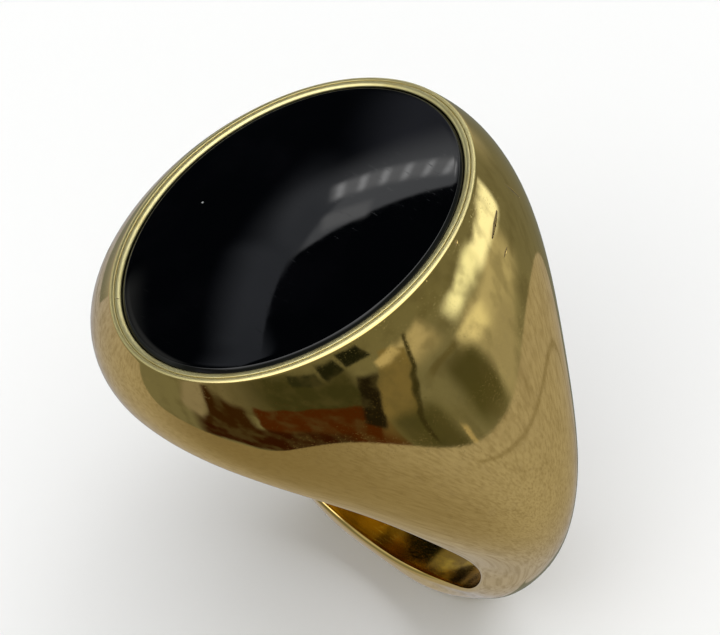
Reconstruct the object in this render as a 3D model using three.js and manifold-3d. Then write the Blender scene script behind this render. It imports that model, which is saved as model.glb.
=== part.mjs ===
// Signet ring: a cast body with a domed head and a tapering shank, a bezel strip let into the head,
// a bearing ring and a cement bed inside it, and an oval black stone with a low domed top.
// Millimetres. The origin is the centre of the finger hole, +Y runs along the hole and +Z up
// through the stone. Everything is symmetric about the XZ and YZ planes.

import * as THREE from "three";
import { mergeVertices } from "three/addons/utils/BufferGeometryUtils.js";
import Module from "manifold-3d";

// Finger hole and shank.
const boreRadius = 9.1;
const shankThickness = 1.6; // at the foot, opposite the stone
const shankWidth = 4.05; // at the foot, along the hole
const lowerShankWidth = 5.7;
const sideWidth = 9.4; // level with the hole's centre

// Wall over the finger hole, from the foot round to the head.
const sideThickness = 2.17;
const shoulderThickness = 3.16;
const upperShoulderThickness = 3.43;

// Head.
const headFlareAcross = 2.8; // widest, beyond the rim's outer edge
const headFlareAlong = 0.95;
const headDrop = 3.53; // from the rim down to the widest level
const domeDrop = 1.2; // from the rim down to the level that shapes the dome
const domeShareAcross = 0.416; // of each flare that is left at that level
const domeShareAlong = 0.7;
const shoulderTaper = 1.87; // the half length lost between the head and the upper shoulder
const backThickness = 1.1; // gold between the finger hole and the setting's floor

// Stone, 16 by 12 mm.
const stoneLength = 16;
const stoneWidth = 12;
const girdleHeight = 1.94;
const bevelHeight = 0.2;
const bevelWidth = 0.22;
const domeRise = 0.6;
const stoneFootChamfer = 0.15;

// Bezel strip, bearing and the small gaps between the pieces.
const bezelWall = 0.2;
const rimLand = 0.154; // the body's own flat rim outside the strip
const lipOverhang = 0.04;
const lipSlopeWidth = 0.12;
const lipSlopeDrop = 0.08;
const bearingWidth = 0.8;
const bearingHeight = 0.4;
const fitGap = 0.02;

// How square the body's level sections are: 2 is an ellipse, and more fills the corners.
const footSquareness = 4.8;
const shankSquareness = 2.14;
const headSquareness = 2.1;
const rimSquareness = 2;
const footCurve = 2.3; // how late the foot's edges turn in, the same way

// Fineness.
const aroundBody = 72;
const aroundSetting = 96;
const aroundBore = 120;
const bodyLevels = 46;
const domeRings = 7;

// Sizes that follow.
const stoneHalf = { across: stoneWidth / 2, along: stoneLength / 2 };
const grow = (half, by) => ({ across: half.across + by, along: half.along + by });
const bezelInside = grow(stoneHalf, fitGap);
const bezelOutside = grow(bezelInside, bezelWall);
const recess = grow(bezelOutside, fitGap);
const rim = grow(recess, rimLand);
const settingFloor = boreRadius + backThickness;
const seatHeight = settingFloor + bearingHeight;
const girdleTop = seatHeight + girdleHeight;
const rimHeight = girdleTop + bevelHeight;
const headLevel = rimHeight - headDrop;
const domeLevel = rimHeight - domeDrop;
const outerRadius = boreRadius + shankThickness;

const wasm = await Module();
wasm.setup();

function toSolid(geometry) {
  const bare = geometry.clone();
  bare.deleteAttribute("normal");
  bare.deleteAttribute("uv");
  const merged = mergeVertices(bare, 1e-5);
  return new wasm.Manifold(new wasm.Mesh({
    numProp: 3,
    vertProperties: new Float32Array(merged.attributes.position.array),
    triVerts: new Uint32Array(merged.index.array),
  }));
}

function toGeometry(solid) {
  const mesh = solid.getMesh();
  const geometry = new THREE.BufferGeometry();
  geometry.setAttribute("position", new THREE.BufferAttribute(mesh.vertProperties, 3));
  geometry.setIndex(new THREE.BufferAttribute(mesh.triVerts, 1));
  geometry.computeVertexNormals();
  return geometry;
}

// A smooth curve through stations [place, value], level past its ends: a natural cubic spline,
// whose second derivatives come from a tridiagonal system solved by sweeping forward and back.
function smoothThrough(stations) {
  const last = stations.length - 1;
  const step = (i) => stations[i + 1][0] - stations[i][0];
  const rise = (i) => (stations[i + 1][1] - stations[i][1]) / step(i);
  const carry = [0];
  const bend = [0];
  for (let i = 1; i < last; i += 1) {
    const pivot = 2 * (step(i - 1) + step(i)) - step(i - 1) * carry[i - 1];
    carry[i] = step(i) / pivot;
    bend[i] = (6 * (rise(i) - rise(i - 1)) - step(i - 1) * bend[i - 1]) / pivot;
  }
  bend[last] = 0;
  for (let i = last - 1; i > 0; i -= 1) bend[i] -= carry[i] * bend[i + 1];
  return (place) => {
    const at = THREE.MathUtils.clamp(place, stations[0][0], stations[last][0]);
    let i = 0;
    while (i < last - 1 && at > stations[i + 1][0]) i += 1;
    const [from, to, width] = [at - stations[i][0], stations[i + 1][0] - at, step(i)];
    const ends = bend[i] * to ** 3 + bend[i + 1] * from ** 3;
    const lineFrom = stations[i][1] / width - (bend[i] * width) / 6;
    const lineTo = stations[i + 1][1] / width - (bend[i + 1] * width) / 6;
    return ends / (6 * width) + lineFrom * to + lineTo * from;
  };
}

// A closed skin over a stack of level sections, lowest first: each section is a function that
// gives its point at a turn from 0 to 1, and a point closes each end.
function stackGeometry(sections, around, lowPoint, highPoint) {
  const points = [lowPoint];
  for (const section of sections) {
    for (let i = 0; i < around; i += 1) points.push(section(i / around));
  }
  points.push(highPoint);
  const faces = [];
  const at = (level, i) => 1 + level * around + (i % around);
  const top = points.length - 1;
  for (let i = 0; i < around; i += 1) {
    faces.push(0, at(0, i + 1), at(0, i));
    faces.push(top, at(sections.length - 1, i), at(sections.length - 1, i + 1));
    for (let level = 0; level < sections.length - 1; level += 1) {
      faces.push(at(level, i), at(level, i + 1), at(level + 1, i + 1));
      faces.push(at(level, i), at(level + 1, i + 1), at(level + 1, i));
    }
  }
  const geometry = new THREE.BufferGeometry().setFromPoints(points);
  geometry.setIndex(faces);
  return geometry;
}

// A level oval: a superellipse of the given half sizes and squareness.
function ovalAt(half, height, squareness = 2) {
  return (turn) => {
    const angle = turn * 2 * Math.PI;
    const part = (value) => Math.sign(value) * Math.abs(value) ** (2 / squareness);
    const x = half.across * part(Math.cos(angle));
    const y = half.along * part(Math.sin(angle));
    return new THREE.Vector3(x, y, height);
  };
}

function ovalStack(levels) {
  const sections = levels.map(([half, height]) => ovalAt(half, height));
  const low = new THREE.Vector3(0, 0, levels[0][1]);
  const high = new THREE.Vector3(0, 0, levels[levels.length - 1][1]);
  return stackGeometry(sections, aroundSetting, low, high);
}

// The body's outside. The outline across the finger is set by the wall over the finger hole at
// angles from the foot, and the outline along the finger by its half width at each height.
function bodySkin() {
  const fromFoot = (x, z) => Math.atan2(x, -z);
  const wallAt = (x, z) => Math.hypot(x, z) - boreRadius;
  const headX = rim.across + headFlareAcross;
  const domeX = rim.across + headFlareAcross * domeShareAcross;
  const rimAngle = fromFoot(rim.across, rimHeight);
  const wall = smoothThrough([
    [-0.44 * Math.PI, sideThickness],
    [-0.2 * Math.PI, shankThickness],
    [0, shankThickness],
    [0.2 * Math.PI, shankThickness],
    [0.447 * Math.PI, sideThickness],
    [0.562 * Math.PI, shoulderThickness],
    [0.666 * Math.PI, upperShoulderThickness],
    [fromFoot(headX, headLevel), wallAt(headX, headLevel)],
    [fromFoot(domeX, domeLevel), wallAt(domeX, domeLevel)],
    [rimAngle, wallAt(rim.across, rimHeight)],
  ]);
  const headY = rim.along + headFlareAlong;
  const plainHalfWidth = smoothThrough([
    [-outerRadius, shankWidth / 2],
    [-0.85 * boreRadius, shankWidth / 2],
    [-0.6 * boreRadius, lowerShankWidth / 2],
    [0, sideWidth / 2],
    [0.6 * boreRadius, headY - shoulderTaper],
    [headLevel, headY],
    [domeLevel, rim.along + headFlareAlong * domeShareAlong],
    [rimHeight, rim.along],
  ]);
  const intoFoot = (height) => Math.max(0, -height - boreRadius) / shankThickness;
  const footShare = (height) => (1 - intoFoot(height) ** footCurve) ** (1 / footSquareness);
  const halfWidth = (height) => plainHalfWidth(height) * footShare(height);
  const squareness = smoothThrough([
    [-outerRadius, footSquareness],
    [-0.3 * boreRadius, shankSquareness],
    [0.2 * boreRadius, shankSquareness],
    [headLevel, headSquareness],
    [rimHeight, rimSquareness],
  ]);
  const sections = [];
  const firstAngle = 0.02 * Math.PI;
  for (let i = 0; i <= bodyLevels; i += 1) {
    const angle = THREE.MathUtils.lerp(firstAngle, rimAngle, i / bodyLevels);
    const reach = boreRadius + wall(angle);
    const height = i === bodyLevels ? rimHeight : -reach * Math.cos(angle);
    const half = { across: reach * Math.sin(angle), along: halfWidth(height) };
    sections.push(ovalAt(half, height, squareness(height)));
  }
  const low = new THREE.Vector3(0, 0, sections[0](0).z);
  return stackGeometry(sections, aroundBody, low, new THREE.Vector3(0, 0, rimHeight));
}

function ringBody() {
  const past = 2 * (rim.along + headFlareAlong) + 2;
  const bore = new THREE.CylinderGeometry(boreRadius, boreRadius, past, aroundBore);
  const pocket = ovalStack([[recess, settingFloor], [recess, rimHeight + 1]]);
  return toGeometry(toSolid(bodySkin()).subtract(toSolid(bore)).subtract(toSolid(pocket)));
}

// The strip stands on the setting's floor round the bearing and the stone. Its top leans over the
// stone's bevel, and slopes down towards the stone.
function bezelStrip() {
  const lipEdge = grow(stoneHalf, -lipOverhang);
  const lipUnder = girdleTop + (lipOverhang * bevelHeight) / bevelWidth + fitGap;
  const outside = ovalStack([[bezelOutside, settingFloor], [bezelOutside, rimHeight]]);
  const inside = ovalStack([
    [bezelInside, settingFloor - 1],
    [bezelInside, girdleTop + fitGap],
    [lipEdge, lipUnder + fitGap],
    [lipEdge, rimHeight - lipSlopeDrop],
    [grow(lipEdge, lipSlopeWidth), rimHeight],
    [grow(lipEdge, lipSlopeWidth), rimHeight + 1],
  ]);
  return toGeometry(toSolid(outside).subtract(toSolid(inside)));
}

function bearingRing() {
  const outside = grow(bezelInside, -fitGap);
  const inside = grow(outside, -bearingWidth);
  const block = ovalStack([[outside, settingFloor], [outside, seatHeight]]);
  const hole = ovalStack([[inside, settingFloor - 1], [inside, seatHeight + 1]]);
  return toGeometry(toSolid(block).subtract(toSolid(hole)));
}

function cementBed() {
  const outside = grow(bezelInside, -fitGap - bearingWidth - fitGap);
  return ovalStack([[outside, settingFloor], [outside, seatHeight]]);
}

// Straight girdle, a narrow bevel round the top and a low dome.
function ovalStone() {
  const crown = grow(stoneHalf, -bevelWidth);
  const levels = [
    [grow(stoneHalf, -stoneFootChamfer), seatHeight],
    [stoneHalf, seatHeight + stoneFootChamfer],
    [stoneHalf, girdleTop],
    [crown, rimHeight],
  ];
  for (let ring = domeRings - 1; ring > 0; ring -= 1) {
    const share = ring / domeRings;
    const half = { across: crown.across * share, along: crown.along * share };
    levels.push([half, rimHeight + domeRise * (1 - share * share)]);
  }
  const sections = levels.map(([half, height]) => ovalAt(half, height));
  const low = new THREE.Vector3(0, 0, seatHeight);
  const crest = new THREE.Vector3(0, 0, rimHeight + domeRise);
  return stackGeometry(sections, aroundSetting, low, crest);
}

const gold = { color: 0xd9bd6a, roughness: 0.12, metalness: 1 };
const paleGold = { color: 0xe4d08c, roughness: 0.16, metalness: 1 };
const onyx = { color: 0x020304, roughness: 0.06, metalness: 0 };
const cement = { color: 0x4a443a, roughness: 0.8, metalness: 0 };

const ring = new THREE.Group();

function addPiece(name, geometry, finish) {
  const piece = new THREE.Mesh(geometry, new THREE.MeshStandardMaterial(finish));
  piece.name = name;
  ring.add(piece);
}

addPiece("ring_body", ringBody(), gold);
addPiece("bezel_strip", bezelStrip(), paleGold);
addPiece("bearing_ring", bearingRing(), gold);
addPiece("cement_bed", cementBed(), cement);
addPiece("oval_stone", ovalStone(), onyx);

export default ring;
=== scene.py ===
import math
import bpy
import bmesh
import numpy as np
from mathutils import Matrix, Vector


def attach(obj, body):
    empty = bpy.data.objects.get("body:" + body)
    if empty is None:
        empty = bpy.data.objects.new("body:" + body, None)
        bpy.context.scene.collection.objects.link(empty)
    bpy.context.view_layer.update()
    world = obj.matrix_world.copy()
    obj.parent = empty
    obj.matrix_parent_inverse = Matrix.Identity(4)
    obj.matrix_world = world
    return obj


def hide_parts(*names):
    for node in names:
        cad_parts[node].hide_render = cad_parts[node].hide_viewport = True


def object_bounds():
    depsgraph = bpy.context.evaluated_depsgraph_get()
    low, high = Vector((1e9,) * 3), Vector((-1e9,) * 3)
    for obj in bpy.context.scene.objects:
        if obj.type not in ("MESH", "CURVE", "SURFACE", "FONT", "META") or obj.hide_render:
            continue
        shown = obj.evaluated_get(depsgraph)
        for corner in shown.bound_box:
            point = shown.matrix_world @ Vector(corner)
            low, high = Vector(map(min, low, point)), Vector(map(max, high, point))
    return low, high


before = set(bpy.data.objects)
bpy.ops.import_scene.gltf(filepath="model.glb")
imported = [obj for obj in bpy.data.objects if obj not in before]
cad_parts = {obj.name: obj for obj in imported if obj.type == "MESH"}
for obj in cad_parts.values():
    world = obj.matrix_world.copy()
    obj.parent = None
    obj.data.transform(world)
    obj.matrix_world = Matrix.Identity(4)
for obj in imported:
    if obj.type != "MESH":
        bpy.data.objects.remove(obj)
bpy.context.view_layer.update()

print("frame loaded")
mm = 0.001  # every size below is in millimetres until a mesh is finished
weld = 1e-5  # points closer than this become one
mirrorWeld = 1e-4
near = 1e-3  # points closer than this to an edge lie on it


# smooth curve through [place, value] stations, level past its ends
def smoothThrough(stations):
    place, value = np.array(stations, float).T
    step = np.diff(place)
    rise = np.diff(value) / step
    rows = np.eye(len(place))
    bend = np.zeros(len(place))
    for i in range(1, len(place) - 1):
        rows[i, i - 1:i + 2] = step[i - 1], 2 * (step[i - 1] + step[i]), step[i]
        bend[i] = 6 * (rise[i] - rise[i - 1])
    bend = np.linalg.solve(rows, bend)  # second derivatives, none at the two ends

    def curve(at):
        at = np.clip(at, place[0], place[-1])
        i = np.clip(np.searchsorted(place, at) - 1, 0, len(place) - 2)
        after, before, width = at - place[i], place[i + 1] - at, step[i]
        line = value[i] * before + value[i + 1] * after
        sag = bend[i] * (before**2 - width**2) * before
        sag = (sag + bend[i + 1] * (after**2 - width**2) * after) / 6
        return (line + sag) / width
    return curve


# a bmesh in millimetres becomes an object in metres, riding on the ring's one body
def finishPiece(name, bm, finish, node):
    bmesh.ops.scale(bm, vec=(mm, mm, mm), verts=bm.verts)
    for face in bm.faces:
        face.smooth = True
    mesh = bpy.data.meshes.new(name)
    bm.to_mesh(mesh)
    bm.free()
    mesh.materials.append(finish)
    piece = bpy.data.objects.new(name, mesh)
    bpy.context.scene.collection.objects.link(piece)
    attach(piece, "root")
    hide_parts(node)
    print("made", name, len(mesh.polygons), "faces")


# extrudes a run of edges and puts each new vertex where place() sends the old one
def extrudeTo(bm, edges, place):
    made = bmesh.ops.extrude_edge_only(bm, edges=edges)["geom"]
    for vert in made:
        if isinstance(vert, bmesh.types.BMVert):
            vert.co = place(vert.co)
    return [edge for edge in made if isinstance(edge, bmesh.types.BMEdge) and not edge.is_manifold
            and all(v in made for v in edge.verts)]


setting = {  # the stone and what holds it, as in the frame
    "stoneHalf": (6.0, 8.0),  # across the finger, along it
    "fitGap": 0.02, "bezelWall": 0.2, "rimLand": 0.154,
    "bearingHeight": 0.4, "girdleHeight": 1.94, "bevelHeight": 0.2, "bevelWidth": 0.22,
    "domeRise": 0.6, "lipOverhang": 0.04, "lipSlopeWidth": 0.12, "lipSlopeDrop": 0.08,
    "footChamfer": 0.15, "lipRounding": 0.04, "stoneRounding": 0.02,
    "ovalSteps": 256, "domeRings": 30, "creaseAngle": 20, "roundingSteps": 3,
}
body = {  # the gold body
    "boreRadius": 9.1, "shankThickness": 1.6, "shankWidth": 4.05, "lowerShankWidth": 5.7,
    "sideWidth": 9.4, "sideThickness": 2.17, "shoulderThickness": 3.16,
    "upperShoulderThickness": 3.43, "headFlareAcross": 2.8, "headFlareAlong": 0.95,
    "headDrop": 3.53, "domeDrop": 1.2, "domeShareAcross": 0.416, "domeShareAlong": 0.7,
    "shoulderTaper": 1.87, "backThickness": 1.1, "footSquareness": 4.8,
    "shankSquareness": 2.14, "headSquareness": 2.1, "footCurve": 2.3,
    # where the sizes above hold: half turns from the foot, then heights in hole radii
    "shankTurn": 0.2, "farSideTurn": 0.44, "sideTurn": 0.447, "shoulderTurn": 0.562,
    "upperShoulderTurn": 0.666, "shankTop": -0.85, "lowerShankTop": -0.6, "shoulderAt": 0.6,
    "squareFrom": -0.3, "squareTo": 0.2,
    "boreEdgeRounding": 0.24, "recessEdgeRounding": 0.03,
    "rimEdgeDrop": 0.09, "rimEdgeWidth": 0.11, "rimEdgeSteps": 5,
}
grid = {  # how finely the body is built
    "outlineSteps": 110, "rimSteps": 48, "skinRows": 44, "boreRows": 9, "evening": 200,
    "settleEvery": 10, "sweepSteps": 240, "rayReach": 16.0, "rayHalvings": 44,
    "outlineSamples": 6000, "creaseAngle": 25, "boreEdgeSteps": 6, "recessEdgeSteps": 2,
    "boreLag": 0.97,  # keeps the lines on the shoulders apart
}

settingFloor = body["boreRadius"] + body["backThickness"]
seatHeight = settingFloor + setting["bearingHeight"]
girdleTop = seatHeight + setting["girdleHeight"]
rimHeight = girdleTop + setting["bevelHeight"]


def grownOval(by):  # the stone's half sizes, grown by a width
    return setting["stoneHalf"][0] + by, setting["stoneHalf"][1] + by


bezelInside = grownOval(setting["fitGap"])
bezelOutside = grownOval(setting["fitGap"] + setting["bezelWall"])
recess = grownOval(2 * setting["fitGap"] + setting["bezelWall"])
rim = (recess[0] + setting["rimLand"], recess[1] + setting["rimLand"])
rimEdgeHeight = rimHeight - body["rimEdgeDrop"]  # where the rounding of the rim begins
roundingRoom = 1.5 * body["boreEdgeRounding"]  # the first row either side of the hole's edge


# how far outside the body's skin each point is: below 0 inside, 0 on it
def makeSkin():
    bore = body["boreRadius"]
    foot = -bore - body["shankThickness"]
    headLevel = rimHeight - body["headDrop"]
    domeLevel = rimHeight - body["domeDrop"]
    headX = rim[0] + body["headFlareAcross"]
    domeX = rim[0] + body["headFlareAcross"] * body["domeShareAcross"]
    headY = rim[1] + body["headFlareAlong"]

    def overBore(x, z):  # angle from the foot, and wall over the finger hole
        return [math.atan2(x, -z), math.hypot(x, z) - bore]

    wall = smoothThrough([
        [-body["farSideTurn"] * math.pi, body["sideThickness"]],
        [-body["shankTurn"] * math.pi, body["shankThickness"]],
        [0, body["shankThickness"]],
        [body["shankTurn"] * math.pi, body["shankThickness"]],
        [body["sideTurn"] * math.pi, body["sideThickness"]],
        [body["shoulderTurn"] * math.pi, body["shoulderThickness"]],
        [body["upperShoulderTurn"] * math.pi, body["upperShoulderThickness"]],
        overBore(headX, headLevel),
        overBore(domeX, domeLevel),
        overBore(rim[0], rimHeight),
    ])
    plainHalfWidth = smoothThrough([
        [foot, body["shankWidth"] / 2],
        [body["shankTop"] * bore, body["shankWidth"] / 2],
        [body["lowerShankTop"] * bore, body["lowerShankWidth"] / 2],
        [0, body["sideWidth"] / 2],
        [body["shoulderAt"] * bore, headY - body["shoulderTaper"]],
        [headLevel, headY],
        [domeLevel, rim[1] + body["headFlareAlong"] * body["domeShareAlong"]],
        [rimHeight, rim[1]],
    ])
    squareness = smoothThrough([
        [foot, body["footSquareness"]],
        [body["squareFrom"] * bore, body["shankSquareness"]],
        [body["squareTo"] * bore, body["shankSquareness"]],
        [headLevel, body["headSquareness"]],
        [rimHeight, 2],
    ])
    angles = np.linspace(0, math.atan2(rim[0], -rimHeight), grid["outlineSamples"])
    reach = bore + wall(angles)
    heights, halfAcross = -reach * np.cos(angles), reach * np.sin(angles)
    rimAngle = np.interp(rimEdgeHeight, heights, angles)

    def outside(points):
        x, y, z = np.moveaxis(points, -1, 0)
        intoFoot = np.clip((-z - bore) / body["shankThickness"], 0, 1)
        footShare = (1 - intoFoot**body["footCurve"]) ** (1 / body["footSquareness"])
        along = np.maximum(plainHalfWidth(z) * footShare, 1e-6)
        across = np.maximum(np.interp(z, heights, halfAcross), 1e-6)
        power = squareness(z)
        level = np.abs(x / across) ** power + np.abs(y / along) ** power - 1
        return np.where(z < foot, 1.0, level)
    return outside, wall, rimAngle


skin, wallOver, rimAngle = makeSkin()


def ontoSkin(centre, towards):  # where the ray from centre through a point meets the skin
    low = np.zeros(towards.shape[:-1] + (1,))
    high = np.full(low.shape, grid["rayReach"])
    for _ in range(grid["rayHalvings"]):
        middle = (low + high) / 2
        beyond = skin(centre + (towards - centre) * middle)[..., None] > 0
        low, high = np.where(beyond, low, middle), np.where(beyond, middle, high)
    return centre + (towards - centre) * (low + high) / 2


def evenOut(lines, hub):  # so that no two lines run together
    for pull in range(grid["evening"]):
        before = np.concatenate([lines[1:2] * [-1, 1, 1], lines[:-1]])
        after = np.concatenate([lines[1:], lines[-2:-1] * [-1, 1, 1]])
        lines[:, 2:-1] = (before[:, 2:-1] + after[:, 2:-1] + lines[:, 1:-2] + lines[:, 3:]) / 4
        if (pull + 1) % grid["settleEvery"] == 0:  # and back onto the skin
            inside = lines[:, 1:-1]
            lines[:, 1:-1] = ontoSkin(np.broadcast_to(hub, inside.shape), inside)
            lines[0, :, 0] = lines[-1, :, 0] = 0


# one quarter of the skin as lines from the edge of the finger hole out to the middle or the rim
def quarterLines():
    bore, outline, around = body["boreRadius"], grid["outlineSteps"], grid["rimSteps"]
    count = outline + around
    outer = np.clip(np.arange(count + 1) / outline, 0, 1) * rimAngle
    turn = np.clip((np.arange(count + 1) - outline) / around, 0, 1) * math.pi / 2
    perStep = rimAngle / outline
    inner = smoothThrough([
        [0, 0],
        [count / 4, count / 4 * perStep],
        [count / 2, grid["boreLag"] * count / 2 * perStep],
        [count, math.pi],
    ])(np.arange(count + 1))
    inner[-1] = math.pi
    centre = np.stack([bore * np.sin(inner), 0 * inner, -bore * np.cos(inner)], -1)
    centre[-1, 0] = 0
    edge = ontoSkin(centre, centre + [0, 1, 0])
    reach = bore + wallOver(outer)
    onOutline = np.stack([reach * np.sin(outer), 0 * outer, -reach * np.cos(outer)], -1)
    onRim = np.stack([rim[0] * np.cos(turn), rim[1] * np.sin(turn), 0 * turn + rimEdgeHeight], -1)
    onRim = ontoSkin(np.array([0, 0, rimEdgeHeight]), onRim)
    end = np.where((np.arange(count + 1) < outline)[:, None], onOutline, onRim)
    end[-1, 0] = 0
    sweep = np.linspace(0, math.pi / 2, grid["sweepSteps"])[None, :, None]
    hub = centre[:, None, :]
    fine = hub + (edge[:, None] - hub) * np.cos(sweep) + (end[:, None] - hub) * np.sin(sweep)
    fine = ontoSkin(np.broadcast_to(hub, fine.shape), fine)
    fine[:, -1], fine[:, 0] = end, edge
    gone = np.concatenate([np.zeros((count + 1, 1)),
                           np.linalg.norm(np.diff(fine, axis=1), axis=-1).cumsum(1)], 1)
    rows = grid["skinRows"]
    lines = np.empty((count + 1, rows + 1, 3))
    for i in range(count + 1):
        wanted = np.concatenate([[0], np.linspace(roundingRoom, gone[i, -1], rows)])
        for axis in range(3):
            lines[i, :, axis] = np.interp(wanted, gone[i], fine[i, :, axis])
    lines[0, :, 0] = lines[-1, :, 0] = 0
    lines[:outline + 1, -1, 1] = 0
    evenOut(lines, hub)
    return lines


# lays a grid on the lines and gives back its edges at the finger hole and at the rim
def layQuarter(bm, lines):
    count, rows = lines.shape[0] - 1, lines.shape[1] - 1
    bmesh.ops.create_grid(bm, x_segments=count, y_segments=rows, size=1)
    boreSide, rimSide = [], []
    places = {}
    for vert in bm.verts:
        i, j = round((vert.co.x + 1) / 2 * count), round((vert.co.y + 1) / 2 * rows)
        places[vert] = (i, j)
        vert.co = lines[i, j]
    for edge in bm.edges:
        (i, j), (k, l) = (places[v] for v in edge.verts)
        if j == 0 and l == 0:
            boreSide.append(edge)
        if j == rows and l == rows and min(i, k) >= grid["outlineSteps"]:
            rimSide.append(edge)
    return boreSide, rimSide


def wallBore(bm, boreSide, start):  # the finger hole's wall, from its edge to the middle
    startAngles = np.arctan2(start[:, 0], -start[:, 2])
    for row in range(grid["boreRows"] + 1):
        left = 1 - row / grid["boreRows"]

        def along(co):
            whole = np.interp(math.atan2(co.x, -co.z), startAngles, start[:, 1])
            return Vector((co.x, (whole - roundingRoom) * left, co.z))
        boreSide = extrudeTo(bm, boreSide, along)


def closeRim(bm, rimSide, start):  # the rounded rim, its flat land and the recess in it
    def oval(half, height):
        def place(co):
            turn = math.atan2(co.y / rim[1], co.x / rim[0]) if co.z > 0 else 0
            return Vector((half[0] * math.cos(turn), half[1] * math.sin(turn), height))
        return place

    def scaled(share):
        return lambda co: Vector((co.x * share, co.y * share, co.z))

    startTurns = np.arctan2(start[:, 1] / rim[1], start[:, 0] / rim[0])
    startShares = np.hypot(start[:, 1] / rim[1], start[:, 0] / rim[0])
    landHalf = rim[0] - body["rimEdgeWidth"], rim[1] - body["rimEdgeWidth"]

    def rounded(share):  # a curve from the skin past the rim's corner onto its flat top
        def place(co):
            turn = math.atan2(co.y / rim[1], co.x / rim[0])
            out = np.interp(turn, startTurns, startShares)
            begin = oval((rim[0] * out, rim[1] * out), rimEdgeHeight)(co)
            return (begin * (1 - share)**2 + oval(rim, rimHeight)(co) * 2 * share * (1 - share)
                    + oval(landHalf, rimHeight)(co) * share**2)
        return place

    for step in range(1, body["rimEdgeSteps"] + 1):
        rimSide = extrudeTo(bm, rimSide, rounded(step / body["rimEdgeSteps"]))
    rimSide = extrudeTo(bm, rimSide, oval(recess, rimHeight))
    rimSide = extrudeTo(bm, rimSide, lambda co: Vector((co.x, co.y, settingFloor)))
    rimSide = extrudeTo(bm, rimSide, scaled(0.5))
    extrudeTo(bm, rimSide, scaled(0))


def mirrorQuarter(bm):
    bmesh.ops.remove_doubles(bm, verts=bm.verts, dist=weld)
    for axis in "XY":
        everything = bm.verts[:] + bm.edges[:] + bm.faces[:]
        bmesh.ops.mirror(bm, geom=everything, matrix=Matrix.Identity(4), merge_dist=mirrorWeld, axis=axis)
    bmesh.ops.recalc_face_normals(bm, faces=bm.faces)


def roundBodyEdges(bm):
    sharpest = math.radians(grid["creaseAngle"])
    creases = [e for e in bm.edges if e.is_manifold and e.calc_face_angle() > sharpest]

    def offBore(co):
        return abs(math.hypot(co.x, co.z) - body["boreRadius"])

    def offRecess(co):
        return abs(co.z - rimHeight) + abs(math.hypot(co.x / recess[0], co.y / recess[1]) - 1)
    boreEdges = [e for e in creases if all(offBore(v.co) < near for v in e.verts)]
    recessEdges = [e for e in creases if all(offRecess(v.co) < near for v in e.verts)]
    for edges, width, steps in (
            (boreEdges, body["boreEdgeRounding"], grid["boreEdgeSteps"]),
            (recessEdges, body["recessEdgeRounding"], grid["recessEdgeSteps"])):
        bmesh.ops.bevel(bm, geom=edges, offset=width, offset_type="OFFSET", segments=steps,
                        profile=0.5, affect="EDGES", material=-1, clamp_overlap=False)
        print("  rounded", len(edges), "edges")


def makeRingBody(finish):
    lines = quarterLines()
    bm = bmesh.new()
    boreSide, rimSide = layQuarter(bm, lines)
    wallBore(bm, boreSide, lines[:, 0])
    closeRim(bm, rimSide, lines[grid["outlineSteps"]:, -1])
    mirrorQuarter(bm)
    roundBodyEdges(bm)
    finishPiece("goldBody", bm, finish, "ring_body")


# a stack of ovals, each level (half across, half along, height)
def ovalLoops(bm, levels):
    bmesh.ops.create_circle(bm, segments=setting["ovalSteps"], radius=1, cap_ends=False)
    for vert in bm.verts:
        vert.co = Vector((vert.co.x * levels[0][0], vert.co.y * levels[0][1], levels[0][2]))
    ring = bm.edges[:]
    for (wasX, wasY, _), (x, y, z) in zip(levels, levels[1:]):
        def place(co):
            return Vector((co.x / wasX * x, co.y / wasY * y, z))
        ring = extrudeTo(bm, ring, place)
    return ring


# rounds the sharp edges of an oval piece above a height
def roundAbove(bm, height, width):
    sharpest = math.radians(setting["creaseAngle"])
    sharp = [e for e in bm.edges if abs(e.calc_face_angle(0)) > sharpest
             and min(v.co.z for v in e.verts) > height]
    bmesh.ops.bevel(bm, geom=sharp, offset=width, offset_type="OFFSET",
                    segments=setting["roundingSteps"], profile=0.5, affect="EDGES", material=-1,
                    clamp_overlap=True)


def makeBezel(finish):
    lip = grownOval(-setting["lipOverhang"])
    crest = grownOval(setting["lipSlopeWidth"] - setting["lipOverhang"])
    lipUnder = girdleTop + setting["lipOverhang"] * setting["bevelHeight"] / setting["bevelWidth"]
    top = rimHeight
    levels = [
        (*bezelInside, settingFloor), (*bezelOutside, settingFloor),
        (*bezelOutside, top), (*crest, top),
        (*lip, top - setting["lipSlopeDrop"]),
        (*lip, lipUnder + 2 * setting["fitGap"]), (*bezelInside, girdleTop + setting["fitGap"]),
        (*bezelInside, settingFloor),
    ]
    bm = bmesh.new()
    ovalLoops(bm, levels)
    bmesh.ops.remove_doubles(bm, verts=bm.verts, dist=weld)
    bmesh.ops.recalc_face_normals(bm, faces=bm.faces)
    roundAbove(bm, top - setting["lipSlopeDrop"] - setting["fitGap"] / 2, setting["lipRounding"])
    finishPiece("bezelStrip", bm, finish, "bezel_strip")


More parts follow.
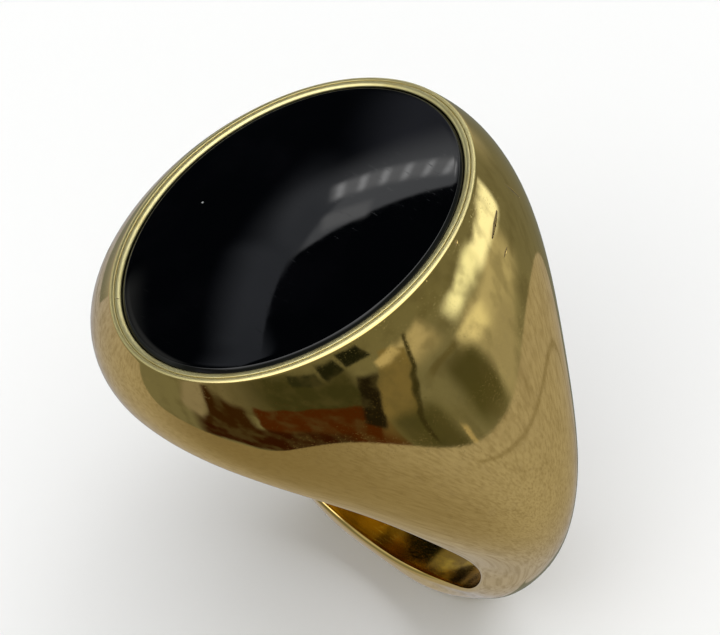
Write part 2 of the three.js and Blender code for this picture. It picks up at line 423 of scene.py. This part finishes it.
def makeStone(finish):
    half = setting["stoneHalf"]
    crown = grownOval(-setting["bevelWidth"])
    chamfer = setting["footChamfer"]
    levels = [
        (*grownOval(-chamfer), seatHeight), (*half, seatHeight + chamfer),
        (*half, girdleTop), (*crown, rimHeight),
    ]
    for ring in range(setting["domeRings"] - 1, 0, -1):
        share = ring / setting["domeRings"]
        height = rimHeight + setting["domeRise"] * (1 - share**2)
        levels.append((crown[0] * share, crown[1] * share, height))
    bm = bmesh.new()
    last = ovalLoops(bm, levels)
    centre = bmesh.ops.extrude_edge_only(bm, edges=last)["geom"]
    tip = [v for v in centre if isinstance(v, bmesh.types.BMVert)]
    bmesh.ops.pointmerge(bm, verts=tip, merge_co=(0, 0, rimHeight + setting["domeRise"]))
    bottom = [e for e in bm.edges if e.is_boundary]
    bmesh.ops.holes_fill(bm, edges=bottom, sides=0)
    bmesh.ops.recalc_face_normals(bm, faces=bm.faces)
    roundAbove(bm, girdleTop - setting["fitGap"] / 2, setting["stoneRounding"])
    finishPiece("onyxStone", bm, finish, "oval_stone")


class Wire:  # a socket that adds the nodes of the sums written with it
    def __init__(self, tree, socket=None):
        self.tree, self.socket = tree, socket

    def add(self, kind, settings=None, sockets=None, output=0):
        made = self.tree.nodes.new(kind)
        for name, value in (settings or {}).items():
            setattr(made, name, value)
        for name, value in (sockets or {}).items():
            if isinstance(value, Wire):
                self.tree.links.new(value.socket, made.inputs[name])
            else:
                made.inputs[name].default_value = value
        return Wire(self.tree, made.outputs[output])

    def math(self, operation, *values):
        return self.add("ShaderNodeMath", {"operation": operation}, dict(enumerate(values)))

    def vector(self, operation, *values, output=0):
        return self.add("ShaderNodeVectorMath", {"operation": operation}, dict(enumerate(values)), output)

    def blend(self, base, over, share):  # colours
        return self.add("ShaderNodeMix", {"data_type": "RGBA"}, {0: share, 6: base, 7: over}, 2)

    def between(self, low, high):  # 0 below low, 1 above high, smooth between
        return self.add("ShaderNodeMapRange", {"interpolation_type": "SMOOTHSTEP"},
                        {"Value": self, "From Min": low, "From Max": high})

    def __add__(self, other):
        return self.math("ADD", self, other)
    __radd__ = __add__

    def __mul__(self, other):
        return self.math("MULTIPLY", self, other)
    __rmul__ = __mul__

    def __sub__(self, other):
        return self.math("SUBTRACT", self, other)

    def __rsub__(self, other):
        return self.math("SUBTRACT", other, self)

    def __truediv__(self, other):
        return self.math("DIVIDE", self, other)

    def __rtruediv__(self, other):
        return self.math("DIVIDE", other, self)

    def __pow__(self, other):
        return self.math("POWER", self, other)

    def __abs__(self):
        return self.math("ABSOLUTE", self)


def rgb(red, green, blue):
    return red, green, blue, 1


def startMaterial(name):
    made = bpy.data.materials.new(name)
    made.use_nodes = True
    return made, made.node_tree.nodes["Principled BSDF"], Wire(made.node_tree)


# the point being shaded, in millimetres
def inMillimetres(wire):
    place = wire.add("ShaderNodeTexCoord", output="Object")
    return place.add("ShaderNodeMapping", {"vector_type": "POINT"},
                     {"Vector": place, "Scale": (1 / mm, 1 / mm, 1 / mm)})


def axes(point):
    parts = point.add("ShaderNodeSeparateXYZ", None, {0: point})
    return [Wire(point.tree, out) for out in parts.socket.node.outputs]


def noise(point, scale, detail=2.0, seed=0.0):  # about 0.5, a feature every 1/scale millimetres
    return point.add("ShaderNodeTexNoise", {"noise_dimensions": "4D"},
                     {"Vector": point, "W": seed, "Scale": scale, "Detail": detail})


# long thin marks along one direction, 1 on a mark
def hairlines(point, turn, seed, share, thin=16.0, long=0.5):
    laid = point.add("ShaderNodeMapping", {"vector_type": "POINT"},
                     {"Vector": point, "Rotation": turn, "Scale": (long, thin, thin)})
    return noise(laid, 1.0, 1.0, seed).between(share, share + 0.05)


# a cut from one point to another, 1 at its bottom
def cut(point, begin, end, width):
    along = Vector(end) - Vector(begin)
    offset = point.vector("SUBTRACT", point, begin)
    perLength = tuple(along / along.length_squared)
    share = offset.vector("DOT_PRODUCT", offset, perLength, output="Value")
    share = share.add("ShaderNodeClamp", None, {"Value": share})
    on = point.add("ShaderNodeVectorMath", {"operation": "SCALE"},
                   {"Vector": tuple(along), "Scale": share})
    off = point.vector("SUBTRACT", offset, on)
    taper = 1 - abs(share - 0.5) * 1.2
    return (off.vector("LENGTH", off, output="Value") / taper).between(width, 0)


def link(wire, value, shader, socket):
    wire.tree.links.new(value.socket, shader.inputs[socket])


def bumped(wire, height):  # height in millimetres
    return wire.add("ShaderNodeBump", None, {"Height": height, "Distance": mm})


goldLook = {
    "colour": (0.83, 0.6, 0.21), "dull": (0.7, 0.5, 0.19), "paintedNickShade": (0.12, 0.07, 0.02),
    "paintedHoleShade": (0.78, 0.5, 0.055), "paintedHoleReflection": (0.15, 0.075, 0.012),  # in the finger hole: amber painted shade and darker painted reflection streaks
    "rubbed": (0.9, 0.79, 0.38), "rubbedDepth": 0.075, "rubbedFull": 0.02,  # the rim
    "roughness": 0.045, "insideRoughness": 0.03, "rubbedRoughness": 0.34,
    "grain": 0.00022, "scratch": 0.0006, "smear": 0.03,
    "grainScale": 9.0, "smearScale": 0.35, "fineScale": 3.2, "patchScale": 0.42,
    "brushTurn": (0.5, 0.9, 0.3), "brushStretch": (0.2, 0.9, 0.6), "paintedHoleReflectionShare": 0.75,
}
scratches = [  # turn, seed, and how high the noise has to rise to be one
    ((0.3, 0.9, 0.4), 1.0, 0.66), ((1.2, 0.2, 1.9), 4.0, 0.69), ((0.1, 1.9, 2.6), 7.0, 0.7),
]
cuts = [  # from, to, width and depth of the knocks in the gold
    ((5.8, 5.62, 11.73), (6.5, 4.55, 11.62), 0.1, 0.08),
    ((6.88, 4.84, 10.99), (7.1, 4.42, 10.96), 0.06, 0.03),
    ((4.9, 7.0, 11.45), (5.32, 7.28, 10.62), 0.09, 0.05),
    ((6.42, 1.05, 12.64), (6.5, 0.9, 12.55), 0.045, 0.015),
    ((6.08, 3.17, 12.6), (6.18, 3.0, 12.55), 0.07, 0.03),
    ((9.2, -3.9, 8.2), (9.35, -3.8, 7.9), 0.05, 0.012),
    ((-7.2, 3.1, 10.4), (-7.6, 2.6, 9.9), 0.06, 0.02),
    ((-9.8, -2.2, 6.6), (-10.1, -1.5, 6.1), 0.05, 0.015),
    ((-4.6, -6.9, 10.9), (-5.3, -6.6, 10.5), 0.05, 0.02),
]


def makeGold():
    look = goldLook
    made, shader, wire = startMaterial("polishedGold")
    point = inMillimetres(wire)
    x, y, z = axes(point)
    fromBore = (x * x + z * z).math("SQRT", x * x + z * z) - body["boreRadius"]
    inside = fromBore.between(0.02, 0.004)  # 1 on the finger hole's wall
    rubbedRim = z.between(rimHeight - look["rubbedDepth"], rimHeight - look["rubbedFull"])
    grain, smear = noise(point, look["grainScale"]), noise(point, look["smearScale"], 3.0, 2.0)
    fine = noise(point, look["fineScale"], 4.0, 5.0)
    marks = 0.0
    for turn, seed, share in scratches:
        marks = hairlines(point, turn, seed, share) + marks
    marks = marks * noise(point, 0.5, 1.0, 8.0).between(0.4, 0.62)
    around = hairlines(point, (0, 0, math.pi / 2), 3.0, 0.6, thin=9.0, long=0.9) * inside
    knocks, depth = 0.0, 0.0
    for begin, end, width, deep in cuts:
        knock = cut(point, begin, end, width)
        knocks, depth = knock + knocks, knock * deep + depth
    colour = wire.blend(rgb(*look["colour"]), rgb(*look["dull"]), smear.between(0.42, 0.72) * 0.35)
    colour = wire.blend(colour, rgb(*look["dull"]), fine.between(0.5, 0.75) * 0.3)
    laid = point.add("ShaderNodeMapping", {"vector_type": "POINT"},
                     {"Vector": point, "Rotation": look["brushTurn"], "Scale": look["brushStretch"]})
    brushed, patches = noise(laid, 1.0, 4.0, 11.0), noise(point, look["patchScale"], 2.0, 14.0)
    # the finger hole's colour is painted light: a darker amber for its shade, with darker brushed streaks
    # and patches painted in for its dark reflections
    paintedHoleReflection = (brushed * 0.6 + patches * 0.4).between(0.44, 0.6)
    hole = wire.blend(rgb(*look["paintedHoleShade"]), rgb(*look["paintedHoleReflection"]), paintedHoleReflection * look["paintedHoleReflectionShare"])
    colour = wire.blend(colour, hole, inside)
    colour = wire.blend(colour, rgb(*look["rubbed"]), rubbedRim)
    # painted shade: the base colour darkens inside each nick, where shade falls in the slit
    colour = wire.blend(colour, rgb(*look["paintedNickShade"]), knocks * 0.7)
    link(wire, colour, shader, "Base Color")
    roughness = look["roughness"] + (smear - 0.5) * look["smear"] + marks * 0.05
    roughness = roughness + (grain - 0.5) * 0.03 + inside * (fine * 0.1 + look["insideRoughness"])
    roughness = roughness + rubbedRim * look["rubbedRoughness"]
    link(wire, roughness + knocks * 0.25, shader, "Roughness")
    shader.inputs["Metallic"].default_value = 1
    height = grain * look["grain"] - marks * look["scratch"] - around * look["scratch"] * 1.5 - depth
    link(wire, bumped(wire, height + fine * look["grain"] * 2), shader, "Normal")
    return made


stripLook = {
    "colour": (0.91, 0.82, 0.42), "worn": (0.82, 0.68, 0.27), "roughness": 0.4,
    "ripple": 0.0015, "rippleScale": 1.1, "grainScale": 11.0,
    "joint": ((-3.05, -6.6, 12.75), (-3.4, -7.05, 12.73)), "jointWidth": 0.05,
    "jointDepth": 0.03, "jointColour": (0.1, 0.06, 0.03),
}


def makeStripGold():
    look = stripLook
    made, shader, wire = startMaterial("stripGold")
    point = inMillimetres(wire)
    ripple = noise(point, look["rippleScale"], 2.0, 3.0)
    grain = noise(point, look["grainScale"], 2.0, 6.0)
    joint = cut(point, *look["joint"], look["jointWidth"])
    worn = ripple.between(0.45, 0.7) * 0.6
    colour = wire.blend(rgb(*look["colour"]), rgb(*look["worn"]), worn)
    colour = wire.blend(colour, rgb(*look["jointColour"]), joint * 0.8)
    link(wire, colour, shader, "Base Color")
    link(wire, look["roughness"] + (grain - 0.5) * 0.16 + joint * 0.3, shader, "Roughness")
    shader.inputs["Metallic"].default_value = 1
    height = ripple * look["ripple"] * 3 + grain * look["ripple"] - joint * look["jointDepth"]
    link(wire, bumped(wire, height), shader, "Normal")
    return made


onyxLook = {
    "colour": (0.0003, 0.0004, 0.0006), "cloud": (0.001, 0.001, 0.0014), "roughness": 0.028,
    "ior": 1.54, "cloudScale": 0.3, "haze": 0.0003, "hazeScale": 2.2,
    "scratch": 0.00022, "scratchThin": 14.0, "scratchLong": 0.35,
    "speck": (-3.66, -1.51, 13.1), "speckSize": 0.07, "speckColour": (0.35, 0.36, 0.36),
}


def makeOnyx():
    look = onyxLook
    made, shader, wire = startMaterial("onyx")
    point = inMillimetres(wire)
    cloud, haze = noise(point, look["cloudScale"], 3.0), noise(point, look["hazeScale"], 3.0, 4.0)
    size = look["scratchThin"], look["scratchLong"]
    marks = hairlines(point, (0, 0, 0.5), 2.0, 0.7, *size)
    marks = marks + hairlines(point, (0, 0, 2.1), 5.0, 0.71, *size)
    off = point.vector("DISTANCE", point, look["speck"], output="Value")
    speck = off.between(look["speckSize"], look["speckSize"] * 0.4)
    colour = wire.blend(rgb(*look["colour"]), rgb(*look["cloud"]), cloud.between(0.45, 0.7))
    colour = wire.blend(colour, rgb(*look["speckColour"]), speck * 0.8)
    link(wire, colour, shader, "Base Color")
    roughness = look["roughness"] + haze.between(0.45, 0.75) * 0.03 + marks * 0.03 + speck * 0.5
    link(wire, roughness, shader, "Roughness")
    shader.inputs["IOR"].default_value = look["ior"]
    link(wire, bumped(wire, haze * look["haze"] - marks * look["scratch"]), shader, "Normal")
    return made


cementLook = {
    "colour": (0.075, 0.06, 0.045), "pale": (0.14, 0.12, 0.095), "gritColour": (0.03, 0.025, 0.02),
    "roughness": 0.75, "grit": 0.02, "gritScale": 14.0, "lumps": 0.03, "lumpScale": 1.6,
}


def makeCement():
    look = cementLook
    made, shader, wire = startMaterial("cement")
    point = inMillimetres(wire)
    grit, lumps = noise(point, look["gritScale"], 4.0), noise(point, look["lumpScale"], 3.0, 2.0)
    colour = wire.blend(rgb(*look["colour"]), rgb(*look["pale"]), lumps.between(0.35, 0.7))
    colour = wire.blend(colour, rgb(*look["gritColour"]), grit.between(0.58, 0.7))
    link(wire, colour, shader, "Base Color")
    link(wire, look["roughness"] + grit * 0.2, shader, "Roughness")
    link(wire, bumped(wire, grit * look["grit"] + lumps * look["lumps"]), shader, "Normal")
    return made


gold, stripGold, onyx, cement = makeGold(), makeStripGold(), makeOnyx(), makeCement()
print("finishes made")
makeRingBody(gold)
makeBezel(stripGold)
makeStone(onyx)
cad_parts["bearing_ring"].material_slots[0].material = stripGold
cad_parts["cement_bed"].material_slots[0].material = cement
print("ring made")

floorLook = {
    "halfSize": 1500, "tone": 0.8, "roughness": 0.9,
    "backdropRadius": 1400, "backdropSteps": 48, "backdrop": 1.0,
}


def makeStage(name, bm, material):
    mesh = bpy.data.meshes.new(name)
    bm.to_mesh(mesh)
    bm.free()
    mesh.materials.append(material)
    made = bpy.data.objects.new(name, mesh)
    bpy.context.scene.collection.objects.link(made)
    return made


def makeFloor():
    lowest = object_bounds()[0][2]
    paleFloor, shader, _ = startMaterial("paleFloor")
    shader.inputs["Base Color"].default_value = rgb(*[floorLook["tone"]] * 3)
    shader.inputs["Roughness"].default_value = floorLook["roughness"]
    bm = bmesh.new()
    bmesh.ops.create_grid(bm, x_segments=1, y_segments=1, size=floorLook["halfSize"] * mm)
    bmesh.ops.translate(bm, verts=bm.verts, vec=(0, 0, lowest))
    floor = makeStage("floor", bm, paleFloor)
    floor.visible_glossy = False  # the gold mirrors the studio's own table instead


def makeBackdrop():  # only the camera sees it
    steps = floorLook["backdropSteps"]
    bm = bmesh.new()
    bmesh.ops.create_uvsphere(bm, u_segments=steps, v_segments=steps // 2,
                              radius=floorLook["backdropRadius"] * mm)
    bright, _, wire = startMaterial("paleBackdrop")
    glow = wire.add("ShaderNodeEmission", None, {"Color": rgb(*[floorLook["backdrop"]] * 3)})
    output = bright.node_tree.nodes["Material Output"]
    bright.node_tree.links.new(glow.socket, output.inputs["Surface"])
    backdrop = makeStage("backdrop", bm, bright)
    backdrop.visible_diffuse = backdrop.visible_glossy = backdrop.visible_shadow = False
    backdrop.visible_transmission = backdrop.visible_volume_scatter = False


makeFloor()
makeBackdrop()

view = {  # angles in degrees, azimuth from -Y towards +X, and lengths in millimetres
    "azimuth": 59.957, "elevation": 51.04, "roll": 19.884, "distance": 101.26,
    "lens": 118.2, "watch": (0, 0, 3.64), "aimRight": 0.799, "aimUp": 1.727,
    "sensor": 36, "clip": (5, 5000),
}


def makeCamera():
    az, el, roll = (math.radians(view[k]) for k in ("azimuth", "elevation", "roll"))
    back = Vector((math.sin(az) * math.cos(el), -math.cos(az) * math.cos(el), math.sin(el)))
    level = Vector((math.cos(az), math.sin(az), 0))
    upright = back.cross(level)
    right = math.cos(roll) * level - math.sin(roll) * upright
    up = math.sin(roll) * level + math.cos(roll) * upright
    place = Vector(view["watch"]) + back * view["distance"]
    aim = Vector(view["watch"]) + right * view["aimRight"] + up * view["aimUp"]
    look = (place - aim).normalized()
    right = up.cross(look).normalized()
    up = look.cross(right)
    turn = Matrix((right, up, look)).transposed().to_4x4()
    data = bpy.data.cameras.new("camera")
    data.lens, data.sensor_width = view["lens"], view["sensor"]
    data.clip_start, data.clip_end = (reach * mm for reach in view["clip"])
    camera = bpy.data.objects.new("camera", data)
    camera.matrix_world = Matrix.Translation(place * mm) @ turn
    bpy.context.scene.collection.objects.link(camera)
    bpy.context.scene.camera = camera


makeCamera()


# in the studio azimuths run from +Y towards +X and elevations up from level, in degrees
def direction(azimuth, elevation):
    az, el = math.radians(azimuth), math.radians(elevation)
    return Vector((math.sin(az) * math.cos(el), math.cos(az) * math.cos(el), math.sin(el)))


suns = [  # name, azimuth, elevation, spread, strength
    ("wideKey", -30, 60, 70, 1.15),
    ("wideFill", 130, 65, 80, 0.85),
]


def makeSun(name, azimuth, elevation, spread, strength):
    data = bpy.data.lights.new(name, "SUN")
    data.angle, data.energy = math.radians(spread), strength
    sun = bpy.data.objects.new(name, data)
    sun.rotation_euler = direction(azimuth, elevation).to_track_quat("Z", "Y").to_euler()
    sun.visible_glossy = False  # it lights the floor and is not mirrored
    bpy.context.scene.collection.objects.link(sun)


for sun in suns:
    makeSun(*sun)
print("floor, camera and suns made")

skyTone = {
    "low": (0.19, 0.205, 0.18), "high": (0.17, 0.18, 0.14), "overhead": (0.008, 0.01, 0.013),
    "highFrom": (10, 45), "overheadFrom": (45, 58),
}
halo = {  # a bright ring round what the stone mirrors, from its inner to its outer angle
    "azimuth": -60, "elevation": 51, "inner": 34, "innerSoft": 2, "outer": 78, "outerSoft": 4,
    "tone": (2.7, 2.7, 2.7), "rise": (14, 42), "lowShare": 0.1,
    "eastAt": 98, "eastReach": (110, 94), "eastLoss": 0.3, "headBelow": (47, 42),
    "southWest": (-94, -112, -176, -160), "southWestLoss": 0.85,
}
dusk = {  # nothing in a room is evenly lit
    "tone": (0.1, 0.1, 0.07), "below": (42, 36), "scale": 9.0, "detail": 3.0, "share": 0.4,
}
table = {  # its far edge is level towards +X and drops to either side
    "tone": (0.45, 0.45, 0.48), "shade": (0.2, 0.17, 0.11), "dark": (0.2, 0.175, 0.125),
    "edge": 1.5, "northDrop": 34, "northCurve": 1.45, "southDrop": 17, "westDrop": 28,
    "westFrom": (-103, -91), "westTo": (0, -20), "westSlope": 0.3,
    "weave": 0.5, "weaveScale": 42.0, "stain": 0.25, "stainScale": 9.0, "detail": 4.0,
    "hemTone": (0.22, 0.2, 0.15), "hemDepth": 4.5, "hemDrop": 9, "hemCurve": 0.8, "hemShare": 0.6,
}
wander = {"scale": 3.5, "degrees": 4}  # how far the head's cards stray, as folds and clutter do
# name, azimuth, elevation, half width, half height, lean, softness at sides, foot, top, colour
headCards = [
    ("oliveWall", 140, 24, 38, 11, 0, 6, 3, 8, (0.045, 0.05, 0.025)),
    ("duskWall", 168, 27, 20, 16, 0, 26, 14, 8, (0.16, 0.16, 0.14)),
    ("brownBoard", 126, 8, 23, 9.5, 0, 1.5, 2, 1.5, (0.065, 0.02, 0.003)),
    ("darkBoard", 150, -6, 31, 9, -4, 10, 3, 4, (0.03, 0.009, 0.002)),
    ("darkPanel", 164, 5, 12, 11, 0, 5, 3, 4, (0.035, 0.016, 0.004)),
    ("paleCorner", 180, 18, 6, 20, 8, 4, 6, 6, (0.26, 0.26, 0.28)),
    ("greyWindow", 44, 5, 17, 9, 4, 10, 9, 6, (0.5, 0.52, 0.5)),
    ("windowSill", 50, 0, 10, 4, 6, 8, 6, 6, (0.36, 0.37, 0.36)),
    ("longWindow", 27, 10.5, 15, 3.4, 28, 6, 4, 3, (1.3, 1.5, 1.75)),
    ("farWindow", 49, 19.5, 11, 3.2, 6, 8, 5, 4, (1.15, 1.35, 1.5)),
    ("smallWindow", 58, 10.5, 8, 2.8, 14, 6, 4, 3, (0.85, 0.9, 0.86)),
    ("topPane", 76, 25, 7, 5, 0, 5, 9, 4, (0.48, 0.48, 0.44)),
    ("darkPost", 69, 6, 7, 6, 0, 7, 5, 8, (0.075, 0.08, 0.045)),
    ("streak", 74, 14, 8, 1.2, 0, 5, 1.5, 1.5, (0.13, 0.13, 0.09)),
    ("tanPane", 93, 17, 5.5, 16, 34, 1.5, 14, 2, (0.2, 0.18, 0.11)),
    ("greenFoot", 94, 4, 9, 5, 0, 6, 1, 6, (0.07, 0.075, 0.045)),
    ("paneTop", 87.5, 28.5, 5.5, 2, 0, 2, 3, 2, (0.52, 0.5, 0.42)),
    ("leanBar", 86, 16.5, 0.9, 18, 36, 1, 2, 2, (0.04, 0.04, 0.02)),
    ("darkWedge", 103, 17.5, 3.6, 11, 30, 1.5, 2, 3, (0.014, 0.012, 0.008)),
    ("topShadeOne", 96.5, 37, 5, 2.8, -4, 1.2, 1.2, 1.2, (0.012, 0.015, 0.01)),
    ("topShadeTwo", 108, 35.5, 5, 2.6, -6, 1.2, 1.2, 1.2, (0.014, 0.017, 0.01)),
    ("topShadeThree", 121, 33, 6.5, 2.2, -8, 1.2, 1.2, 1.2, (0.025, 0.03, 0.018)),
    ("paleTag", 83.5, 2.2, 1, 2.2, 24, 0.8, 0.8, 0.8, (0.48, 0.45, 0.36)),
]
stoneCards = [  # what the stone mirrors, laid out in the same way
    ("lowHaze", -37, 37, 11, 9, 0, 12, 12, 12, (0.2, 0.21, 0.25)),
    ("softBand", -42.5, 48.3, 17.5, 4.6, -10, 7, 9, 0.8, (0.95, 0.97, 1.0)),
    ("bandFoot", -58.5, 49.6, 7, 4.5, -38, 10, 12, 1.5, (0.42, 0.44, 0.48)),
    ("lowArm", -69.8, 58.7, 9.5, 5, -49, 3.5, 10, 0.8, (0.36, 0.38, 0.42)),
    ("farArm", -80.5, 67.4, 10, 4.2, -8, 9, 8, 1.5, (0.32, 0.34, 0.38)),
    ("lampShelf", -40, 47.5, 13, 1.4, 0, 1.5, 1.5, 1.5, (1.6, 1.6, 1.6)),
    ("shortShelf", -49.5, 52.6, 4.5, 1.3, 0, 2, 1.5, 1.5, (1.5, 1.5, 1.5)),
    ("leftGlow", -91, 48, 3, 14, 32, 5, 6, 6, (0.32, 0.32, 0.3)),
]
lamps = {
    "azimuth": -51.5, "elevation": 47.5, "apart": 3.7, "count": 7, "size": 1.2,
    "softness": (1.2, 1.4, 1.4), "tone": (3.4, 3.4, 3.4),
}


def wrapped(angle):  # brought back between -180 and 180
    return angle.math("WRAP", angle, 180, -180)


def roomNoise(way, scale, detail, output=0):
    return way.add("ShaderNodeTexNoise", {"noise_dimensions": "3D"},
                   {"Vector": way, "Scale": scale, "Detail": detail}, output)


def card(angles, azimuthAt, elevationAt, halfWidth, halfHeight, lean, sides, foot, top):
    turn = math.radians(lean)
    across, up = wrapped(angles[0] - azimuthAt), angles[1] - elevationAt
    if lean:
        across, up = (across * math.cos(turn) + up * math.sin(turn),
                      up * math.cos(turn) - across * math.sin(turn))
    wide = abs(across).between(halfWidth + sides / 2, halfWidth - sides / 2)
    tall = up.between(-halfHeight - foot / 2, foot / 2 - halfHeight)
    return wide * tall * up.between(halfHeight + top / 2, halfHeight - top / 2)


def paintSky(way, azimuth, elevation, eastward):
    colour = way.blend(rgb(*skyTone["low"]), rgb(*skyTone["high"]),
                       elevation.between(*skyTone["highFrom"]))
    colour = way.blend(colour, rgb(*skyTone["overhead"]), elevation.between(*skyTone["overheadFrom"]))
    aim = direction(halo["azimuth"], halo["elevation"])
    toHalo = way.vector("DOT_PRODUCT", way, aim, output="Value")
    away = toHalo.math("ARCCOSINE", toHalo) * math.degrees(1)
    inner, outer, innerSoft, outerSoft = (halo[k] for k in ("inner", "outer", "innerSoft", "outerSoft"))
    ring = away.between(inner - innerSoft, inner + innerSoft)
    ring = ring * away.between(outer + outerSoft, outer - outerSoft)
    headSide = eastward * elevation.between(*halo["headBelow"])  # what the head mirrors is darker
    southWest = azimuth.between(*halo["southWest"][:2]) * azimuth.between(*halo["southWest"][2:])
    ring = ring * (1 - headSide) * (1 - southWest * halo["southWestLoss"])
    ring = ring * (1 - eastward * halo["eastLoss"])
    ring = ring * (elevation.between(*halo["rise"]) * (1 - halo["lowShare"]) + halo["lowShare"])
    colour = way.blend(colour, rgb(*halo["tone"]), ring)
    stoneSide = away.between(inner + innerSoft, inner - innerSoft)
    return way.blend(colour, rgb(*skyTone["overhead"]), stoneSide)


def paintCards(way, colour, azimuth, elevation, eastward):
    strays = axes(roomNoise(way, wander["scale"], 2.0, output=1))
    strayed = (azimuth + (strays[0] - 0.5) * wander["degrees"] * 2,
               elevation + (strays[1] - 0.5) * wander["degrees"] * 2)
    for _, *place, tone in headCards:
        colour = way.blend(colour, rgb(*tone), card(strayed, *place))
    patches = roomNoise(way, dusk["scale"], dusk["detail"]).between(0.45, 0.7)
    patches = elevation.between(*dusk["below"]) * eastward * patches
    colour = way.blend(colour, rgb(*dusk["tone"]), patches * dusk["share"])
    straight = azimuth, elevation
    for _, *place, tone in stoneCards:
        colour = way.blend(colour, rgb(*tone), card(straight, *place))
    for lamp in range(lamps["count"]):
        glow = card(straight, lamps["azimuth"] + lamp * lamps["apart"], lamps["elevation"],
                    lamps["size"] / 2, lamps["size"], 0, *lamps["softness"])
        colour = way.blend(colour, rgb(*lamps["tone"]), glow)
    return colour


def paintTable(way, x, y, colour, azimuth, elevation):
    east = x / (x * x + y * y).math("SQRT", x * x + y * y)
    north = y.math("GREATER_THAN", y, 0)
    offEast = (1 - east) * east.between(-0.98, -0.85)
    northEdge = offEast ** table["northCurve"] * table["northDrop"]
    southEdge = abs(east).between(0.9, 0.35) * table["southDrop"]
    aside = southEdge + north * (northEdge - southEdge)
    westEdge = azimuth.between(*table["westFrom"]) * azimuth.between(*table["westTo"])
    westEdge = westEdge * (table["westDrop"] + (azimuth + 90) * table["westSlope"])
    edgeAt = -1 * aside.math("MAXIMUM", aside, westEdge)
    shaded = y.between(0.1, -0.9) * east.between(-0.9, 0.1)
    tone = way.blend(rgb(*table["tone"]), rgb(*table["shade"]), shaded * 0.8)
    weave = roomNoise(way, table["weaveScale"], table["detail"]).between(0.38, 0.7)
    stain = roomNoise(way, table["stainScale"], table["detail"]).between(0.5, 0.75)
    tone = way.blend(tone, rgb(*table["dark"]), weave * table["weave"])
    tone = way.blend(tone, rgb(*table["dark"]), stain * table["stain"])
    hem = elevation - edgeAt + table["hemDepth"] + offEast ** table["hemCurve"] * table["hemDrop"]
    hem = abs(hem).between(0.8, 0.2) * north
    tone = way.blend(tone, rgb(*table["hemTone"]), hem * table["hemShare"])
    half = table["edge"] / 4
    return way.blend(tone, colour, (elevation - edgeAt).between(-half, half))


def makeStudio():
    world = bpy.data.worlds.new("studio")
    world.use_nodes = True
    tree = world.node_tree
    way = Wire(tree).add("ShaderNodeTexCoord", output="Generated")
    way = way.vector("NORMALIZE", way)
    x, y, z = axes(way)
    azimuth = x.math("ARCTAN2", x, y) * math.degrees(1)
    elevation = z.math("ARCSINE", z) * math.degrees(1)
    eastward = abs(wrapped(azimuth - halo["eastAt"])).between(*halo["eastReach"])
    colour = paintSky(way, azimuth, elevation, eastward)
    colour = paintCards(way, colour, azimuth, elevation, eastward)
    colour = paintTable(way, x, y, colour, azimuth, elevation)
    tree.links.new(colour.socket, tree.nodes["Background"].inputs["Color"])
    bpy.context.scene.world = world
    print("studio with", len(headCards) + len(stoneCards), "cards")


makeStudio()
bpy.context.scene.view_settings.view_transform = "Standard"
